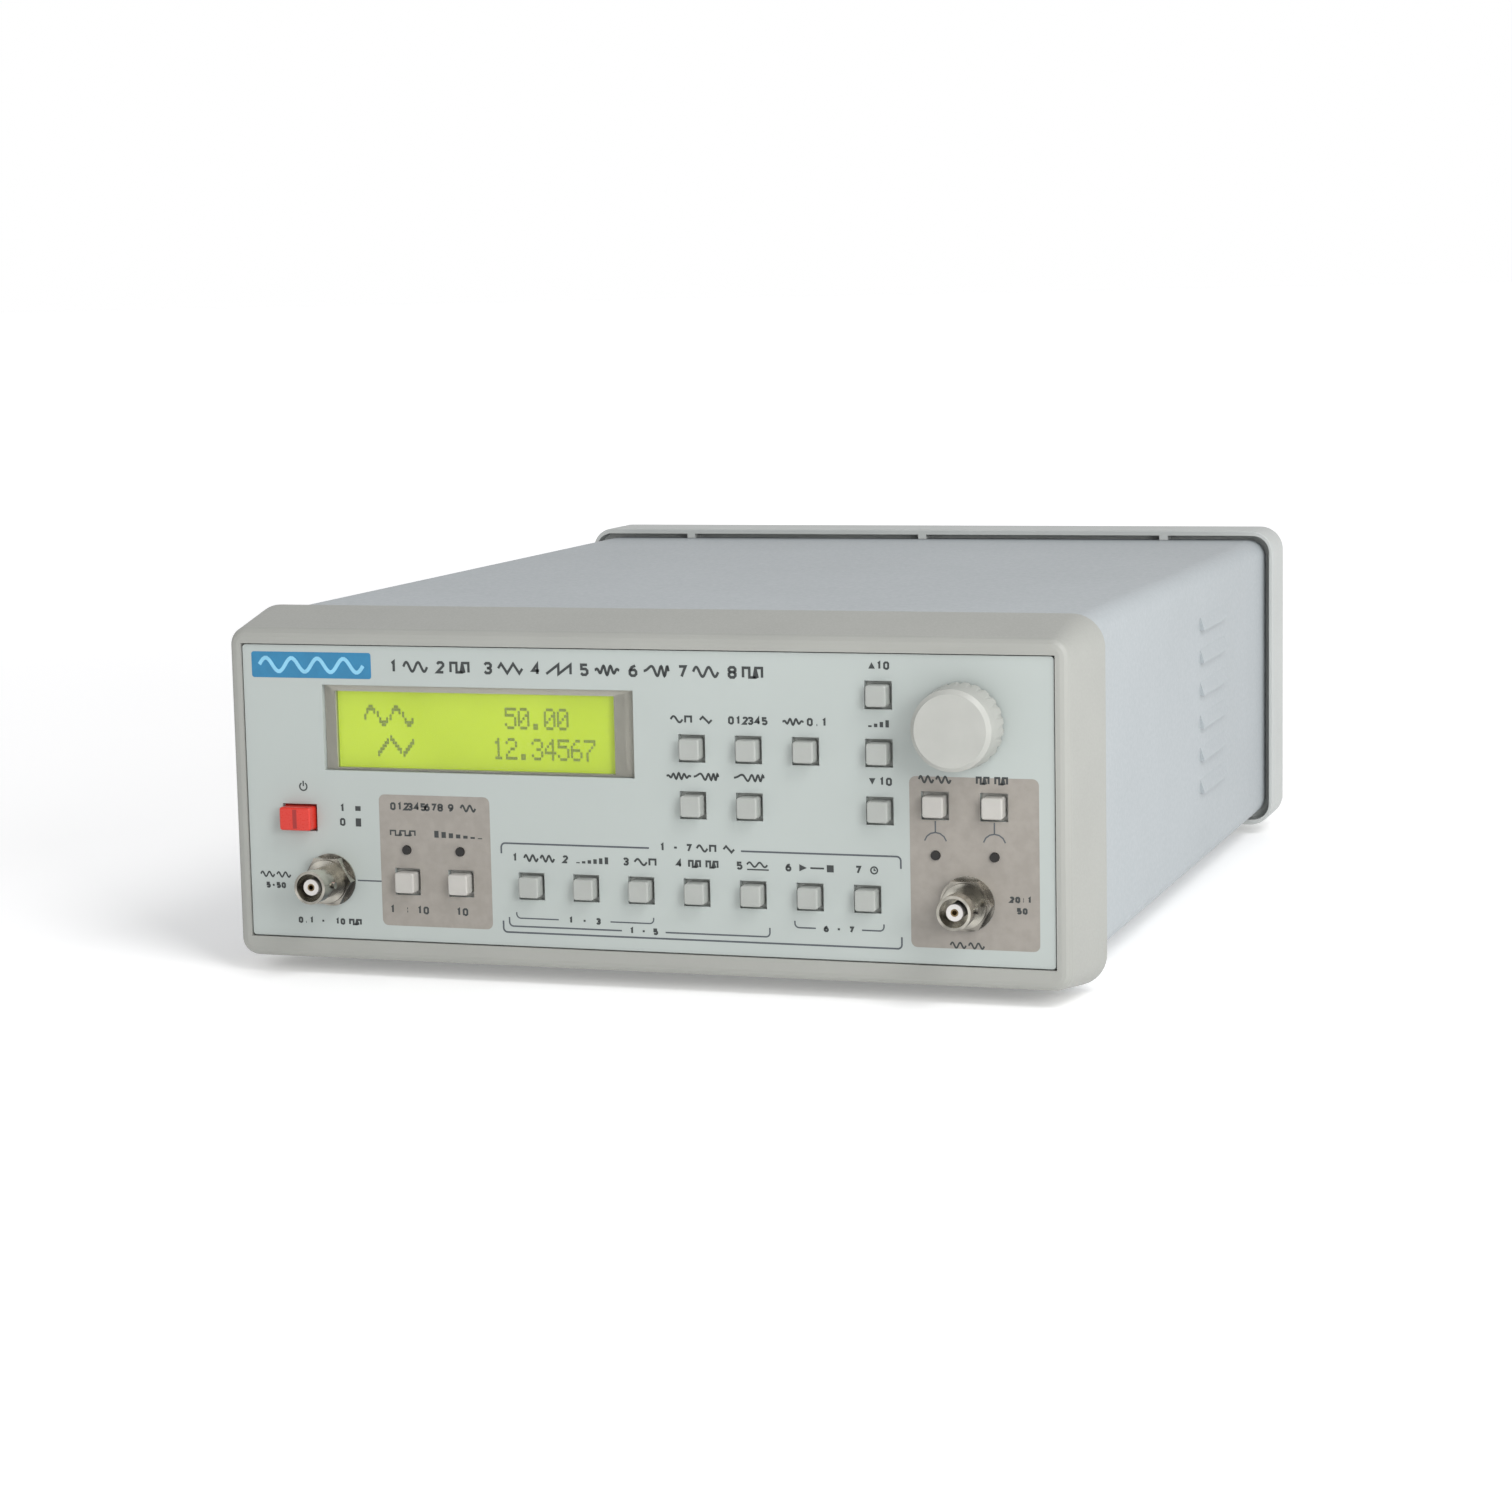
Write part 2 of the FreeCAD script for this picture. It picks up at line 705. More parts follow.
def bezel_outline(body, depth, inset):
    """The front bezel's outline at a depth behind its face, drawn in by an inset."""
    left_to_go = f"(1 - ({depth}) / front_bezel_depth)"
    width = f"bezel_width - 2 * (bezel_taper * {left_to_go} + {inset})"
    height = f"bezel_height - (bezel_taper + bezel_bottom_taper) * {left_to_go} - 2 * {inset}"
    corner = f"bezel_corner - (bezel_corner - bezel_front_corner) * {left_to_go} - {inset}"
    sketch = sketch_on(body, offset=depth)
    middle = f"(bezel_bottom_taper - bezel_taper) / 2 * {left_to_go} - bezel_drop"
    rounded_rectangle(sketch, width, height, corner, z=middle)
    return sketch


def boss_places():
    """Middles of the bosses behind the front bezel's ledge, from the middle of the panel."""
    return [(f"{x} * boss_x", f"{z} * boss_spacing_z / 2") for x in (-1, 1) for z in (-1, 1)]


def make_rear_bezel():
    """Moulded rim round the back of the sleeve, with ribs that centre the sleeve in it."""
    body = new_body("rear_bezel")
    place(body, y="rear_y - rear_bezel_depth", z="case_z")
    outline = sketch_on(body)
    rounded_rectangle(outline, "rim_width", "rim_height", "rim_corner")
    pad(body, outline, "rear_bezel_depth")
    rounded(body, "rim_rounding", back_edge)
    rounded(body, "rim_edge", front_edge)
    seat = sketch_on(body)
    width, height = "case_width + 2 * rim_gap_side", "case_height + 2 * rim_gap_top"
    rounded_rectangle(seat, width, height, "case_corner")
    pocket(body, seat, "rear_bezel_depth - rim_recess - rim_flange")
    opening = sketch_on(body, offset="rear_bezel_depth - rim_recess - rim_flange")
    rectangle(opening, "rear_opening_width", "rear_opening_height")
    pocket(body, opening, "rim_flange")
    recess = sketch_on(body, offset="rear_bezel_depth - rim_recess")
    width, height = "rim_width - 2 * rim_wall", "rim_height - 2 * rim_wall"
    rounded_rectangle(recess, width, height, "rim_corner - rim_wall")
    pocket(body, recess, "rim_recess")
    for rib in (-1, 0, 1):
        for side in (-1, 1):
            sketch = sketch_on(body)
            middle = f"{side} * (case_height + rim_rib_clearance + rim_gap_top + rim_wall / 4) / 2"
            height = "rim_gap_top - rim_rib_clearance + rim_wall / 4"
            rectangle(sketch, "rim_rib_width", height, x=f"{rib} * rim_rib_spacing", z=middle)
            pad(body, sketch, "rear_bezel_depth - rim_recess - rim_flange")
    holes = sketch_on(body, offset="rear_bezel_depth - rim_recess - rim_flange")
    for x, z in rear_screw_places():
        circle(holes, "screw_hole", x, z)
    pocket(body, holes, "rim_flange")


def rear_screw_places():
    """Middles of the screws through the rim's flange, from the middle of the case."""
    spread = "rear_screw_spacing_z / 2"
    return [(f"{x} * rear_screw_x", f"{z} * {spread}") for x in (-1, 1) for z in (-1, 1)]


def make_rear_panel():
    body = new_body("rear_panel")
    place(body, y="rear_panel_y", z="case_z")
    outline = sketch_on(body)
    rectangle(outline, "rear_panel_width", "rear_panel_height")
    pad(body, outline, "rear_panel_thickness")
    holes = sketch_on(body)
    inlet_hole = "inlet_body_{0} + 2 * panel_gap"
    width, height = inlet_hole.format("width"), inlet_hole.format("height")
    rectangle(holes, width, height, "inlet_x", "inlet_z")
    for x in rear_socket_places():
        circle(holes, "socket_hole", x, "rear_socket_z")
    for x, z in rear_screw_places():
        circle(holes, "thread_bore", x, z)
    pocket(body, holes, "rear_panel_thickness")


def rear_socket_places():
    return [f"rear_socket_x + {i} * rear_socket_pitch" for i in range(3)]


def louvre_profile(side, skin):
    """Section of a pressed louvre, in X and Z from the sleeve's face, pulled in by a skin."""
    face = f"{side} * (case_width / 2 - case_wall - {skin})"
    lip = f"{side} * (case_width / 2 + louvre_rise - {skin})"
    rest = f"{side} * (case_width / 2 - {skin})"
    top = f"louvre_height - {skin}"
    return [(face, "0"), (lip, "0"), (lip, "louvre_rise / 2"), (rest, top), (face, top)]


def make_case_sleeve():
    """Painted steel sleeve, one wrapped sheet, with six pressed louvres in each side."""
    body = new_body("case_sleeve")
    place(body, y="case_front_y", z="case_z")
    length = "case_back_y - case_front_y"
    outline = sketch_on(body)
    rounded_rectangle(outline, "case_width", "case_height", "case_corner")
    inside = "case_inner_width", "case_inner_height", "case_corner - case_wall"
    rounded_rectangle(outline, *inside)
    pad(body, outline, length)
    start = "front_y + louvre_setback - case_front_y"
    for side in (-1, 1):
        for kind, skin, inset in (("Pad", "0", "0"), ("Pocket", "louvre_skin", "louvre_skin")):
            sketch = sketch_on(body, offset=f"{start} + {inset}")
            place_z = "louvre_first"
            points = louvre_profile(side, skin)
            polygon(sketch, [(x, f"{z} + {place_z}") for x, z in points])
            backwards = kind == "Pad"
            feature = sketched(body, kind, sketch, f"louvre_length - 2 * {inset}", backwards)
            pattern_louvres(body, feature)
    for x in (-1, 1):
        for y in (-1, 1):
            hole = sketch_on(body, "XY_Plane", offset="-case_height / 2")
            along = f"{y} * foot_spacing_y / 2 - case_front_y"
            circle(hole, "screw_hole", f"{x} * foot_spacing_x / 2", along)
            pocket(body, hole, "2 * case_wall")


def pattern_louvres(body, feature):
    """Repeats a louvre feature down the side of the sleeve."""
    axis = [item for item in body.Origin.OriginFeatures if item.Role == "Z_Axis"][0]
    pattern = body.newObject("PartDesign::LinearPattern", "louvre_pattern")
    pattern.Originals = [feature]
    pattern.Direction = (axis, [""])
    pattern.Reversed = True
    pattern.Occurrences = 6
    bind(pattern, "Length", "5 * louvre_pitch")
    body.Tip = pattern
    document.recompute()


def foot_places():
    places = [(x, y) for x in (-1, 1) for y in (-1, 1)]
    return [(f"{x} * foot_spacing_x / 2", f"{y} * foot_spacing_y / 2") for x, y in places]


def make_feet():
    """Four rubber feet, each with a deep hole for the head of its screw."""
    feet = []
    for x, y in foot_places():
        foot = document.addObject("Part::Cone", "foot")
        bind(foot, "Radius1", "foot_radius - foot_taper")
        bind(foot, "Radius2", "foot_radius")
        bind(foot, "Height", "foot_height")
        place(foot, x, y)
        head_hole = upright("foot_counterbore", "foot_counterbore_depth", x, y)
        feet.append(without(foot, [head_hole, upright("screw_hole", "foot_height", x, y)]))
    keep(together(feet), "feet")


def board_screw_places():
    """Middles of the six screws that hold the main board."""
    reach_x = "(main_board_width / 2 - board_hole_inset)"
    reach_y = "(main_board_depth / 2 - board_hole_inset)"
    middle_y = "main_board_y + main_board_depth / 2"
    places = [(x, y) for x in (-1, 1) for y in (-1, 0, 1)]
    return [(f"main_board_x + {x} * {reach_x}", f"{middle_y} + {y} * {reach_y}") for x, y in places]


def make_chassis_tray():
    """Folded steel tray with a flange at each end and pressed bosses for the main board."""
    length = "rear_panel_y - tray_front_y"
    pieces = [slab("tray_width", length, "tray_sheet", "0", "tray_front_y", "tray_z")]
    for side in (-1, 1):
        x = f"{side} * (tray_width - tray_sheet) / 2"
        pieces.append(slab("tray_sheet", length, "tray_wall_height", x, "tray_front_y", "tray_z"))
    for y in ("tray_front_y", "rear_panel_y - tray_sheet"):
        pieces.append(slab("tray_width", "tray_sheet", "tray_wall_height", "0", y, "tray_z"))
    holes = []
    for x, y in board_screw_places():
        pieces.append(upright("tray_boss_radius", "tray_boss_height", x, y, "tray_top_z"))
        holes.append(upright("thread_bore", "tray_boss_height", x, y, "tray_top_z"))
    for x, y in foot_places():
        holes.append(upright("thread_bore", "tray_sheet", x, y, "tray_z"))
    keep(without(joined(pieces), holes), "chassis_tray")


# ---------------------------------------------------------------- fasteners


def screw(length, x, y, z, turn):
    """A pan-head screw with its head's underside at its place. The turn aims its shank."""
    shank = rod("screw_radius", length, turn=turn)
    head = rod("screw_head_radius", "screw_head", turn=turn)
    axis = head.Placement.Rotation.multVec(FreeCAD.Vector(0, 0, 1))
    place(shank, x, y, z, turn)
    behind = [f"{text} - {round(step)} * screw_head" for text, step in zip((x, y, z), axis)]
    place(head, *behind, turn)
    return joined([shank, head])


UPWARDS = (FreeCAD.Vector(0, 0, 1), 0)
DOWNWARDS = (FreeCAD.Vector(1, 0, 0), 180)


def make_screws():
    length = "tray_top_z + screw_reach - foot_counterbore_depth"
    feet = [screw(length, x, y, "foot_counterbore_depth", UPWARDS) for x, y in foot_places()]
    keep(together(feet), "foot_screws")
    boards = []
    for x, y in board_screw_places():
        boards.append(screw("screw_length", x, y, "main_board_top_z", DOWNWARDS))
    for x, z in boss_places():
        height = f"panel_z + {z}"
        boards.append(screw("screw_length", x, "key_board_back_y", height, BACK_TO_FRONT))
    keep(together(boards), "board_screws")
    rear = []
    for x, z in rear_screw_places():
        height = f"case_z + {z}"
        rear.append(screw("screw_length", x, "flange_y + rim_flange", height, BACK_TO_FRONT))
    keep(together(rear), "rear_screws")


# ---------------------------------------------------------------- front panel and what it carries


def key_places():
    """Name, x and z of each key, from the middle of the panel."""
    places = []
    for i in range(3):
        x = f"entry_keys_x + {i} * key_pitch"
        places.append((f"key_entry_{i + 1}", x, "key_low_row + key_row_pitch"))
    for i in range(2):
        places.append((f"key_entry_{i + 4}", f"entry_keys_x + {i} * key_pitch", "key_low_row"))
    for i in range(3):
        places.append((f"key_range_{i + 1}", "range_keys_x", f"key_low_row + {2 - i} * key_row_pitch"))
    for i in range(2):
        places.append((f"key_output_{i + 1}", f"output_keys_x + {i} * key_pitch", "output_keys_z"))
    for i in range(2):
        x = f"counter_keys_x + {i} * key_pitch"
        places.append((f"key_counter_{i + 1}", x, "key_bottom_row"))
    for i in range(7):
        x = f"key_first_x + {i} * key_pitch"
        places.append((f"key_function_{i + 1}", x, "key_bottom_row"))
    return places


def lamp_places():
    """Middles of the four indicator lamps, above the counter keys and below the output keys."""
    counter = [(f"counter_keys_x + {i} * key_pitch", "counter_lamps_z") for i in range(2)]
    output = [(f"output_keys_x + {i} * key_pitch", "output_lamps_z") for i in range(2)]
    return counter + output


def make_front_panel():
    body = new_body("front_panel")
    place(body, y="panel_front_y", z="panel_z")
    outline = sketch_on(body)
    rectangle(outline, "panel_width", "panel_height")
    pad(body, outline, "panel_thickness")
    rounded(body, "panel_corner", long_corner)
    key_holes = sketch_on(body)
    for label, x, z in key_places():
        rectangle(key_holes, "key_side + 2 * key_clearance", "key_side + 2 * key_clearance", x, z)
    pocket(body, key_holes, "panel_thickness")
    holes = sketch_on(body)
    power_hole = "power_{0} + 2 * power_clearance"
    rectangle(holes, power_hole.format("width"), power_hole.format("height"), "power_x", "power_z")
    rectangle(holes, "window_width", "window_height", "window_x", "window_z")
    circle(holes, "bushing_radius + screw_clearance", "knob_x", "knob_z")
    for x in ("input_socket_x", "output_socket_x"):
        circle(holes, "socket_hole", x, "socket_z")
    for x, z in lamp_places():
        circle(holes, "lamp_radius + lamp_clearance", x, z)
    pocket(body, holes, "panel_thickness")


def make_push(label, x, z, width, height, rise, stem, stem_end):
    """A key or button: a cap, a flange that stops it behind the panel and a square stem."""
    body = new_body(label)
    place(body, x, f"panel_front_y - {rise}", f"panel_z + {z}")
    cap = sketch_on(body)
    rectangle(cap, width, height)
    flange_start = f"{rise} + panel_thickness + key_flange_gap"
    pad(body, cap, flange_start)
    rounded(body, "key_corner", long_corner)
    rounded(body, "key_edge", front_edge)
    flange = sketch_on(body, offset=flange_start)
    margin = "key_flange - key_side"
    rectangle(flange, f"{width} + {margin}", f"{height} + {margin}")
    pad(body, flange, "key_flange_thickness")
    flange_end = f"{flange_start} + key_flange_thickness"
    stem_sketch = sketch_on(body, offset=flange_end)
    rectangle(stem_sketch, stem, stem)
    pad(body, stem_sketch, f"{stem_end} - key_flange_gap - key_flange_thickness")


def make_pushes():
    """The 19 keys and the power button. Stems end that far behind the panel."""
    key_end = "board_spacer - switch_height + key_stem_engagement"
    for label, x, z in key_places():
        make_push(label, x, z, "key_side", "key_side", "key_rise", "key_stem", key_end)
    power_end = "board_spacer + board_thickness + power_stem_engagement"
    size = ("power_width", "power_height", "power_rise", "power_stem")
    make_push("power_button", "power_x", "power_z", *size, power_end)


def with_well(case, stem, depth, x, y, z):
    """A switch's case with a square well in its front for the stem that works it."""
    side = f"{stem} + 2 * stem_clearance"
    return without(case, [block(side, depth, side, x, y, z)])


def make_switches():
    tact = []
    for label, x, z in key_places():
        spot = (x, "switch_front_y", f"panel_z + {z}")
        case = block("switch_side", "switch_height", "switch_side", *spot)
        tact.append(with_well(case, "key_stem", "switch_well", *spot))
    keep(together(tact), "tact_switches")
    spot = ("power_x", "key_board_back_y", "panel_z + power_z")
    size = ("power_switch_width", "power_switch_depth", "power_switch_height")
    switch = with_well(block(*size, *spot), "power_stem", "power_switch_well", *spot)
    keep(switch, "power_switch")


def make_key_board():
    """Circuit board behind the panel, screwed to the bezel's bosses."""
    body = new_body("key_board")
    place(body, y="key_board_y", z="panel_z")
    outline = sketch_on(body)
    rectangle(outline, "key_board_width", "key_board_height")
    pad(body, outline, "board_thickness")
    holes = sketch_on(body)
    side = "power_stem + 2 * board_clearance"
    rectangle(holes, side, side, "power_x", "power_z")
    for x in ("input_socket_x", "output_socket_x"):
        circle(holes, "socket_tail_radius + board_clearance", x, "socket_z")
    for x, z in boss_places():
        circle(holes, "screw_hole", x, z)
    pocket(body, holes, "board_thickness")


def make_display():
    """Clear window, printed surround, sheet frame, glass cell and display board."""
    width, height = "window_width - 2 * window_gap", "window_height - 2 * window_gap"
    window = block(width, "window_thickness", height, "window_x", "window_y", "window_world_z")
    keep(window, "display_window")
    sheet_piece = block(width, "surround_thickness", height, "window_x", "surround_y", "window_world_z")
    opening = block(
        "display_width", "surround_thickness", "display_height", "display_x", "surround_y", "display_z"
    )
    keep(without(sheet_piece, [opening]), "display_surround")
    depth = "display_board_y - display_frame_y"
    spot = ("display_x", "display_frame_y", "display_z")
    margin = "2 * (display_frame_wall + window_gap)"
    outer = block(f"glass_width + {margin}", depth, f"glass_height + {margin}", *spot)
    view = block("display_width", depth, "display_height", *spot)
    behind = ("display_x", "display_frame_y + display_frame_wall", "display_z")
    room = "2 * window_gap"
    hollow = block(f"glass_width + {room}", depth, f"glass_height + {room}", *behind)
    keep(without(outer, [view, hollow]), "lcd_frame")
    glass = block("glass_width", f"{depth} - display_frame_wall", "glass_height", *behind)
    keep(glass, "lcd_glass")
    spot = ("display_x", "display_board_y", "display_z")
    size = ("display_board_width", "board_thickness", "display_board_height")
    keep(block(*size, *spot), "lcd_board")


def make_lamps():
    """Four indicator lamps whose leads reach the key board."""
    lamps = []
    for x, z in lamp_places():
        height = f"panel_z + {z}"
        lens = rod("lamp_radius", "lamp_rise + lamp_length", x, "panel_front_y - lamp_rise", height)
        collar_y = "panel_front_y + lamp_length - lamp_collar_height"
        pieces = [lens, rod("lamp_collar", "lamp_collar_height", x, collar_y, height)]
        for side in (-1, 1):
            lead_x = f"{x} + {side} * lamp_pin_pitch"
            reach = "panel_thickness + board_spacer - lamp_length"
            start = "panel_front_y + lamp_length"
            pieces.append(block("lamp_pin", reach, "lamp_pin", lead_x, start, height))
        lamps.append(joined(pieces))
    keep(together(lamps), "indicator_lamps")


def make_encoder():
    """Rotary encoder: a block soldered to the key board, with a threaded bushing and a shaft."""
    x, z = "knob_x", "knob_world_z"
    case = block("encoder_width", "board_spacer", "encoder_width", x, "panel_back_y", z)
    tip_y = "panel_front_y - bushing_reach"
    bushing = rod("bushing_radius", "bushing_reach + panel_thickness", x, tip_y, z)
    depth = "bushing_reach + panel_thickness + shaft_depth + shaft_end_clearance"
    bore = rod("shaft_bore", depth, x, tip_y, z)
    keep(without(joined([case, bushing]), [bore]), "encoder_body")
    nut_y = "panel_front_y - encoder_nut_thickness"
    nut = hexagon("encoder_nut_radius", "encoder_nut_thickness", x, nut_y, z)
    hole = rod("bushing_radius + thread_clearance", "encoder_nut_thickness", x, nut_y, z)
    keep(without(nut, [hole]), "encoder_nut")
    length = "shaft_engagement + knob_gap + panel_thickness + shaft_depth"
    shaft = rod("shaft_radius", length, x, "knob_back_y - shaft_engagement", z)
    keep(shaft, "encoder_shaft")


def make_tuning_knob():
    """Fluted knob, hollowed behind for the encoder's nut."""
    body = new_body("tuning_knob")
    place(body, "knob_x", "knob_back_y - knob_length", "knob_world_z")
    bore_end = "knob_length - shaft_engagement - shaft_end_clearance"
    floor = "knob_length - knob_recess"
    turned(body, [
        ("0", "0"),
        ("knob_face_radius - knob_edge", "0"),
        ("knob_face_radius", "knob_edge"),
        ("knob_radius", "knob_length"),
        ("knob_recess_radius", "knob_length"),
        ("knob_recess_radius", floor),
        ("shaft_bore", floor),
        ("shaft_bore", bore_end),
        ("0", bore_end),
    ])
    flute = sketch_on(body, offset="2 * knob_edge")
    circle(flute, "knob_flute_radius", "knob_radius + knob_flute_radius - knob_flute_bite")
    cut = pocket(body, flute, "knob_length")
    axis = [item for item in body.Origin.OriginFeatures if item.Role == "Y_Axis"][0]
    pattern = body.newObject("PartDesign::PolarPattern", "flutes")
    pattern.Originals = [cut]
    pattern.Axis = (axis, [""])
    pattern.Angle = 360
    bind(pattern, "Occurrences", "knob_flutes")
    body.Tip = pattern


# ---------------------------------------------------------------- coaxial sockets


def socket_places():
    """Middle, panel face, panel thickness and way out (-1 front, 1 rear) of each socket."""
    front = ("panel_z + socket_z", "panel_front_y", "panel_thickness", -1)
    rear = ("case_z + rear_socket_z", "flange_y", "rear_panel_thickness", 1)
    places = [(x, *front) for x in ("input_socket_x", "output_socket_x")]
    return places + [(x, *rear) for x in rear_socket_places()]


def span(shape, radius, start, end, spot):
    """A rod or hexagon of a socket between two distances out from its panel's face."""
    x, z, face_y, sheet_thickness, out = spot
    y = f"{face_y} + ({start})" if out > 0 else f"{face_y} - ({end})"
    return shape(radius, f"({end}) - ({start})", x, y, z)


def socket_shell(spot):
    """Nickel-plated shell: bayonet barrel, thread through the panel, flange and tail behind."""
    x, z, face_y, sheet_thickness, out = spot
    nose_start = "barrel_reach - barrel_nose"
    flange_start = f"-{sheet_thickness} - socket_flange"
    pieces = [
        span(rod, "barrel_radius", nose_start, "barrel_reach", spot),
        span(rod, "barrel_radius - barrel_undercut", "0", nose_start, spot),
        span(rod, "socket_thread", f"-{sheet_thickness}", "socket_thread_reach", spot),
        span(rod, "socket_flange_radius", flange_start, f"-{sheet_thickness}", spot),
        span(rod, "socket_tail_radius", f"{flange_start} - socket_tail", flange_start, spot),
    ]
    lug_y = f"{face_y} + {out} * (barrel_reach - lug_setback)"
    sideways = (FreeCAD.Vector(0, 1, 0), 90)
    pieces.append(rod("lug_radius", "2 * lug_reach", f"{x} - lug_reach", lug_y, z, sideways))
    bore_start = "barrel_reach - barrel_bore_depth"
    bore = span(rod, "barrel_bore", bore_start, "barrel_reach", spot)
    tail_end = f"{flange_start} - socket_tail"
    core = span(rod, "insulator_radius + socket_fit", tail_end, "barrel_reach", spot)
    return without(joined(pieces), [bore, core])


def socket_inside(spot):
    """Insulator and hollow centre contact of a socket."""
    tail = f"-{spot[3]} - socket_flange - socket_tail - insulator_setback"
    tip = "barrel_reach - insulator_setback"
    tube = span(rod, "insulator_radius", tail, tip, spot)
    hole = span(rod, "contact_radius + socket_fit", tail, tip, spot)
    pin = span(rod, "contact_radius", f"{tail} - contact_tail", tip, spot)
    pin_bore = span(rod, "contact_bore", f"{tip} - contact_bore_depth", tip, spot)
    return without(tube, [hole]), without(pin, [pin_bore])


def socket_fixings(spot):
    """Washer and nut on the outside of the panel."""
    washer = span(rod, "socket_washer_radius", "0", "socket_washer", spot)
    nut = span(hexagon, "socket_nut_radius", "socket_washer", "socket_washer + socket_nut", spot)
    pieces = []
    for piece in (washer, nut):
        hole = span(rod, "socket_thread + socket_fit", "0", "socket_washer + socket_nut", spot)
        pieces.append(without(piece, [hole]))
    return pieces


def make_sockets():
    spots = socket_places()
    keep(socket_shell(spots[0]), "input_bnc")
    keep(socket_shell(spots[1]), "output_bnc")
    keep(together([socket_shell(spot) for spot in spots[2:]]), "rear_bncs")
    insides = [socket_inside(spot) for spot in spots]
    keep(together([tube for tube, pin in insides]), "bnc_insulators")
    keep(together([pin for tube, pin in insides]), "bnc_contacts")
    fixings = [piece for spot in spots for piece in socket_fixings(spot)]
    keep(together(fixings), "bnc_nuts")


# ---------------------------------------------------------------- mains inlet


def make_mains_inlet():
    """Snap-in appliance inlet with three pins, and a fuse drawer under its socket."""
    x, z = "inlet_x", "inlet_world_z"
    flange = block("inlet_flange_width", "inlet_flange", "inlet_flange_height", x, "flange_y", z)
    back_y = "flange_y - inlet_body_depth"
    case = block("inlet_body_width", "inlet_body_depth", "inlet_body_height", x, back_y, z)
    socket_y = "inlet_rim_y - inlet_socket_depth"
    socket_z = f"{z} + inlet_socket_rise"
    size = ("inlet_socket_width", "inlet_socket_depth", "inlet_socket_height")
    cuts = [block(*size, x, socket_y, socket_z)]
    room = "{0} + 2 * fuse_drawer_clearance"
    slot_depth = "fuse_drawer_depth + fuse_drawer_clearance"
    size = (room.format("fuse_drawer_width"), slot_depth, room.format("fuse_drawer_height"))
    drawer_z = f"{z} - fuse_drawer_drop"
    cuts.append(block(*size, x, f"inlet_rim_y - ({slot_depth})", drawer_z))
    pins = []
    for side in (-1, 0, 1):
        pin_x = f"{x} + {side} * inlet_pin_spacing"
        pin_z = f"{socket_z} + {1 if side == 0 else -1} * inlet_pin_offset"
        length = "inlet_body_depth + inlet_flange - inlet_socket_depth + inlet_pin_length + inlet_tab"
        size = ("inlet_pin_width", length, "inlet_pin_height")
        pins.append(block(*size, pin_x, f"{back_y} - inlet_tab", pin_z))
        cuts.append(block(*size, pin_x, f"{back_y} - inlet_tab", pin_z))
    keep(without(joined([flange, case]), cuts), "mains_inlet")
    keep(together(pins), "inlet_pins")
    size = ("fuse_drawer_width", "fuse_drawer_depth", "fuse_drawer_height")
    tray = block(*size, x, "drawer_face_y - fuse_drawer_depth", drawer_z)
    edge = "{0} + 2 * fuse_drawer_lip"
    size = (edge.format("fuse_drawer_width"), "fuse_drawer_grip", edge.format("fuse_drawer_height"))
    lip = block(*size, x, "drawer_face_y", drawer_z)
    hollow_depth = "fuse_drawer_depth - 2 * fuse_tray_wall"
    hollow_y = "drawer_face_y - fuse_drawer_depth + fuse_tray_wall"
    hollow_z = f"{drawer_z} + fuse_tray_wall"
    hollow = block("fuse_tray_width", hollow_depth, "fuse_drawer_height", x, hollow_y, hollow_z)
    keep(without(joined([tray, lip]), [hollow]), "fuse_drawer")


# ---------------------------------------------------------------- inside


def make_transformer():
    """Laminated core on two tabs, with the winding round its middle limb."""
    window = "(core_width - 4 * core_limb) / 2"
    tall = "core_height - 2 * core_limb"
    core = slab("core_width", "core_stack", "core_height", "core_x", "core_y", "tray_top_z")
    tabs = slab(
        "core_width + 2 * clamp_foot", "core_stack", "clamp_sheet", "core_x", "core_y", "tray_top_z"
    )
    windows = []
    for side in (-1, 1):
        x = f"core_x + {side} * (core_limb + {window} / 2)"
        windows.append(block(window, "core_stack", tall, x, "core_y", "core_middle_z"))
    keep(without(joined([core, tabs]), windows), "transformer_core")
    gap = "2 * winding_clearance"
    size = (f"core_width - 2 * core_limb - {gap}", "core_stack + 2 * winding_overhang")
    coil = block(*size, f"{tall} - {gap}", "core_x", "core_y - winding_overhang", "core_middle_z")
    size = (f"2 * core_limb + {gap}", f"core_stack + {gap}")
    hole = block(*size, tall, "core_x", "core_y - winding_clearance", "core_middle_z")
    keep(without(coil, [hole]), "transformer_winding")


def make_main_board():
    body = new_body("main_board")
    place(body, "main_board_x", "main_board_y + main_board_depth / 2", "main_board_z")
    outline = sketch_on(body, "XY_Plane")
    rectangle(outline, "main_board_width", "main_board_depth")
    for x in (-1, 1):
        for y in (-1, 0, 1):
            along = f"{y} * (main_board_depth / 2 - board_hole_inset)"
            across = f"{x} * (main_board_width / 2 - board_hole_inset)"
            circle(outline, "screw_hole", across, along)
    pad(body, outline, "board_thickness")


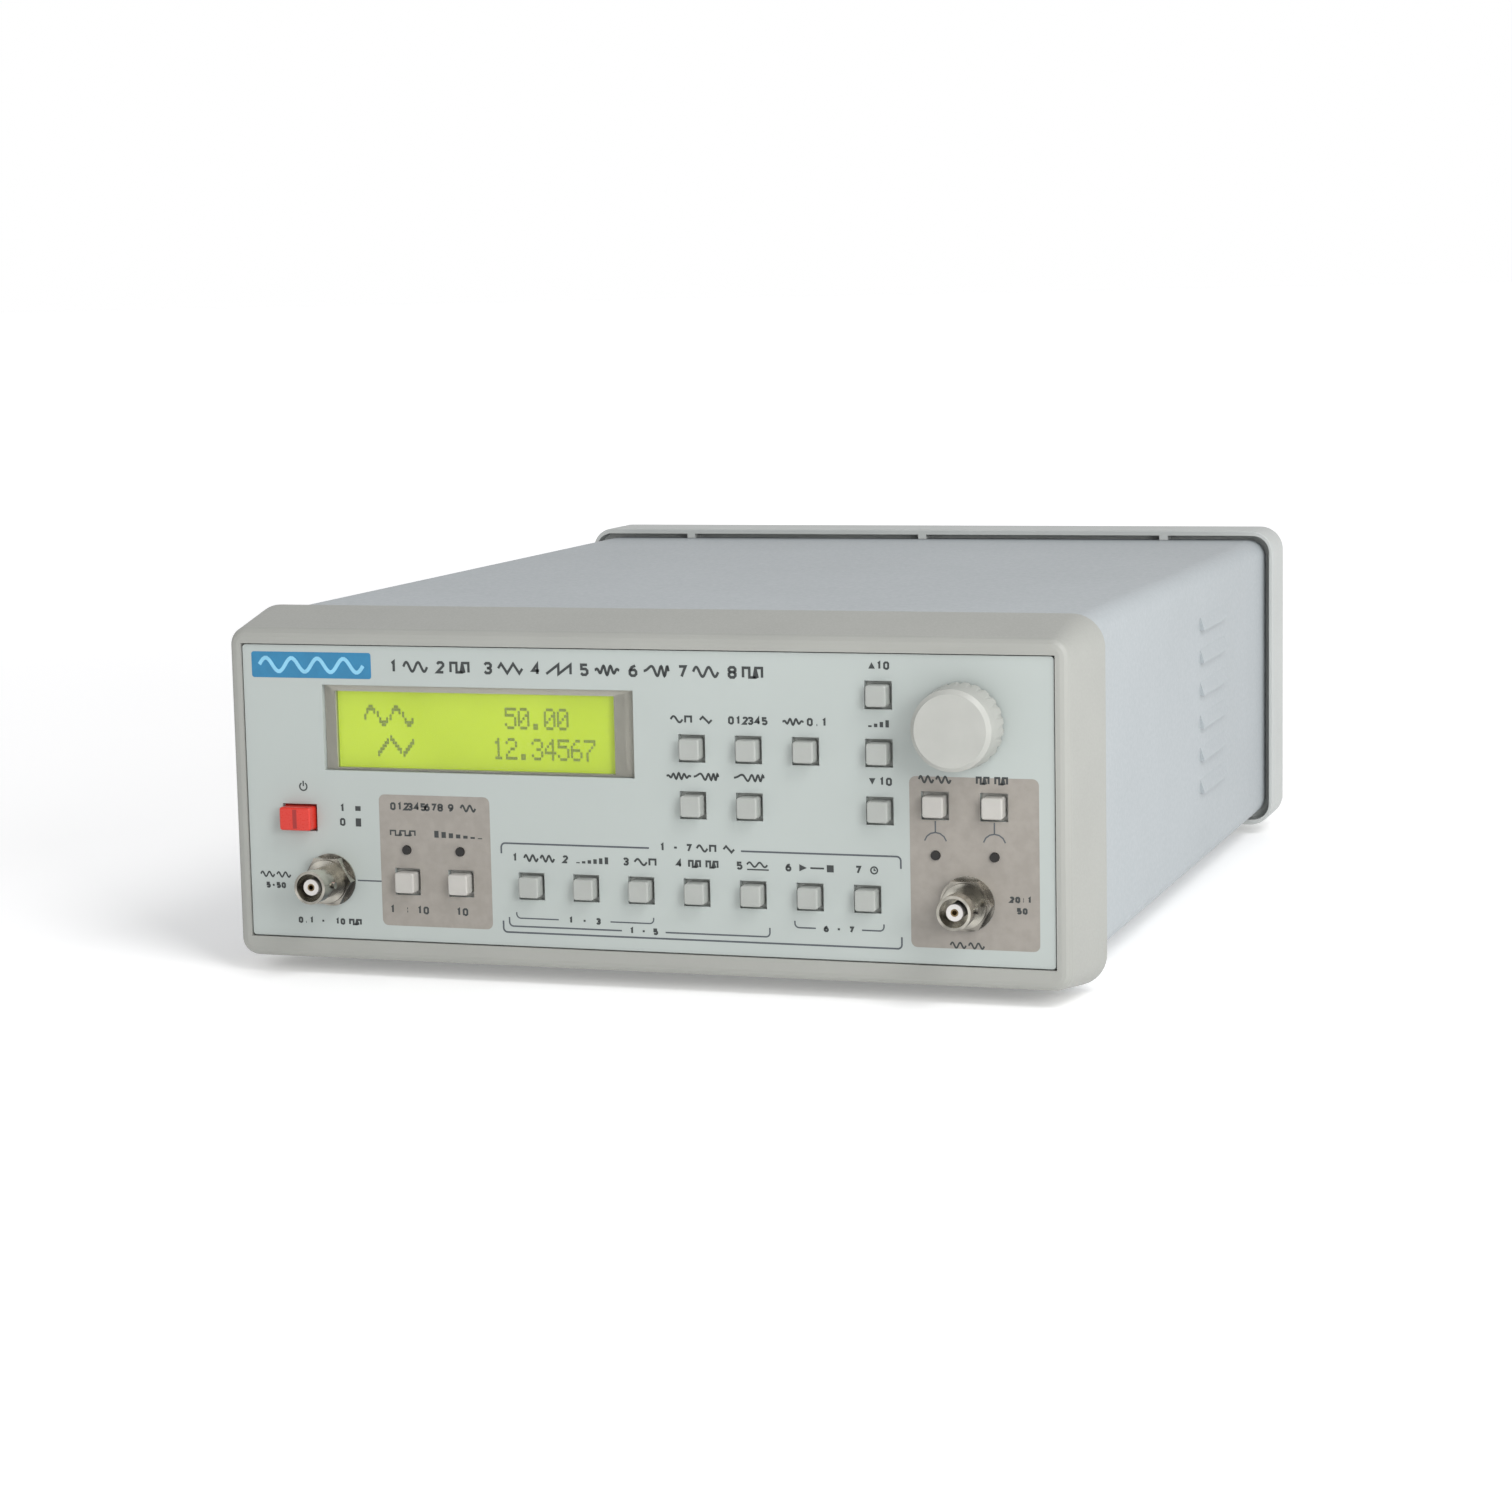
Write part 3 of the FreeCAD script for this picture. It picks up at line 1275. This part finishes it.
def make_heatsink():
    """Finned heatsink that stands on the main board, with three regulators against its face."""
    stand = ("heatsink_height", "heatsink_x", "heatsink_y", "main_board_top_z")
    pieces = [slab("heatsink_width", "heatsink_base", *stand)]
    fins = 8
    for i in range(fins):
        spread = f"{i / (fins - 1) - 0.5} * (heatsink_width - heatsink_fin_sheet)"
        depth = "heatsink_base + heatsink_fin"
        x = f"heatsink_x + {spread}"
        stand = ("heatsink_height", x, "heatsink_y", "main_board_top_z")
        pieces.append(slab("heatsink_fin_sheet", depth, *stand))
    keep(joined(pieces), "heatsink")
    regulators = []
    for i in (-1, 0, 1):
        x = f"heatsink_x + {i} * regulator_pitch"
        y = "heatsink_y - regulator_depth"
        z = "main_board_top_z + regulator_leg_length"
        size = ("regulator_width", "regulator_depth", "regulator_height")
        pieces = [slab(*size, x, y, z)]
        for leg in (-1, 0, 1):
            leg_x = f"{x} + {leg} * regulator_width / 4"
            leg_y = f"{y} + regulator_depth / 2"
            size = ("regulator_leg", "regulator_leg", "regulator_leg_length")
            pieces.append(slab(*size, leg_x, leg_y, "main_board_top_z"))
        regulators.append(joined(pieces))
    keep(together(regulators), "regulators")


def make_capacitors():
    cans = []
    for i in range(3):
        spot = (f"capacitor_x + {i} * capacitor_pitch", "front_y + capacitor_setback")
        cans.append(upright("capacitor_radius", "capacitor_height", *spot, "main_board_top_z"))
    keep(together(cans), "filter_capacitors")


# Chips on the main board: place in from the board's left and front edges, width, depth, height.
CHIPS = [
    (48, 52, 28, 28, 3.4),
    (100, 48, 20, 20, 2.6),
    (34, 96, 36, 14, 4.2),
    (90, 92, 36, 14, 4.2),
    (134, 66, 14, 36, 4.2),
    (40, 132, 14, 20, 3.2),
    (84, 136, 22, 18, 9.0),
    (126, 134, 16, 16, 7.5),
]


def make_board_components():
    """Chips, cans and the two headers that the ribbon cable joins."""
    pieces = []
    for x, y, width, depth, height in CHIPS:
        spot = (f"main_board_x - main_board_width / 2 + {x}", f"main_board_y + {y}")
        pieces.append(slab(str(width), str(depth), str(height), *spot, "main_board_top_z"))
    size = ("header_width", "header_side", "header_height")
    spot = ("ribbon_x", "main_board_y + header_setback", "main_board_top_z")
    pieces.append(slab(*size, *spot))
    size = ("header_width", "header_height", "header_side")
    pieces.append(block(*size, "ribbon_x", "key_board_back_y", "panel_z - ribbon_drop"))
    keep(together(pieces), "board_components")


def make_ribbon_cable():
    """Flat cable from the key board's header back and down into the main board's header."""
    body = new_body("ribbon_cable")
    place(body, "ribbon_x")
    half = "ribbon_thickness / 2"
    start = "key_board_back_y + header_height"
    middle = "main_board_y + header_setback + header_side / 2"
    run = "panel_z - ribbon_drop"
    low = "main_board_top_z + header_height"
    sketch = sketch_on(body, "YZ_Plane", offset="-ribbon_width / 2")
    polygon(sketch, [
        (start, f"{run} + {half}"),
        (f"{middle} + {half}", f"{run} + {half}"),
        (f"{middle} + {half}", low),
        (f"{middle} - {half}", low),
        (f"{middle} - {half}", f"{run} - {half}"),
        (start, f"{run} - {half}"),
    ])
    pad(body, sketch, "ribbon_width")
    rounded(body, "ribbon_bend", outer_bend)
    rounded(body, "ribbon_bend - ribbon_thickness", inner_bend)


def runs_across(edge):
    """True for a straight edge along X."""
    return near(edge.BoundBox.YLength, 0) and near(edge.BoundBox.ZLength, 0)


def outer_bend(edge, box):
    middle = edge.CenterOfMass
    return runs_across(edge) and near(middle.y, box.YMax) and near(middle.z, box.ZMax)


def inner_bend(edge, box):
    middle = edge.CenterOfMass
    at_ends = near(middle.y, box.YMin) or near(middle.y, box.YMax)
    at_levels = near(middle.z, box.ZMin) or near(middle.z, box.ZMax)
    return runs_across(edge) and not at_ends and not at_levels


# ---------------------------------------------------------------- build, check and write


def check():
    """Stops the build if any object failed or any sub-part has no sound shape."""
    for item in document.Objects:
        if "Invalid" in item.State or "Error" in item.State:
            raise RuntimeError(f"{item.Label} failed: {item.State}")
    labels = [item.Label for item in sub_parts]
    if len(set(labels)) != len(labels) or len(labels) > 60:
        raise RuntimeError(f"{len(labels)} sub-parts, {len(set(labels))} names")
    for item in sub_parts:
        if item.Shape.isNull() or not item.Shape.isValid() or not item.Shape.Solids:
            raise RuntimeError(f"{item.Label} has no sound solid")


def write():
    os.makedirs("parts", exist_ok=True)
    for item in sub_parts:
        item.Shape.exportStep(f"parts/{item.Label}.step")
        print(f"{item.Label}: {len(item.Shape.Solids)} solids, {item.Shape.Volume / 1000:.2f} cm3")


make_front_bezel()
make_rear_bezel()
make_rear_panel()
make_case_sleeve()
make_feet()
make_chassis_tray()
make_screws()
make_front_panel()
make_pushes()
make_switches()
make_key_board()
make_display()
make_lamps()
make_encoder()
make_tuning_knob()
make_sockets()
make_mains_inlet()
make_transformer()
make_main_board()
make_heatsink()
make_capacitors()
make_board_components()
make_ribbon_cable()
document.recompute()
check()
write()
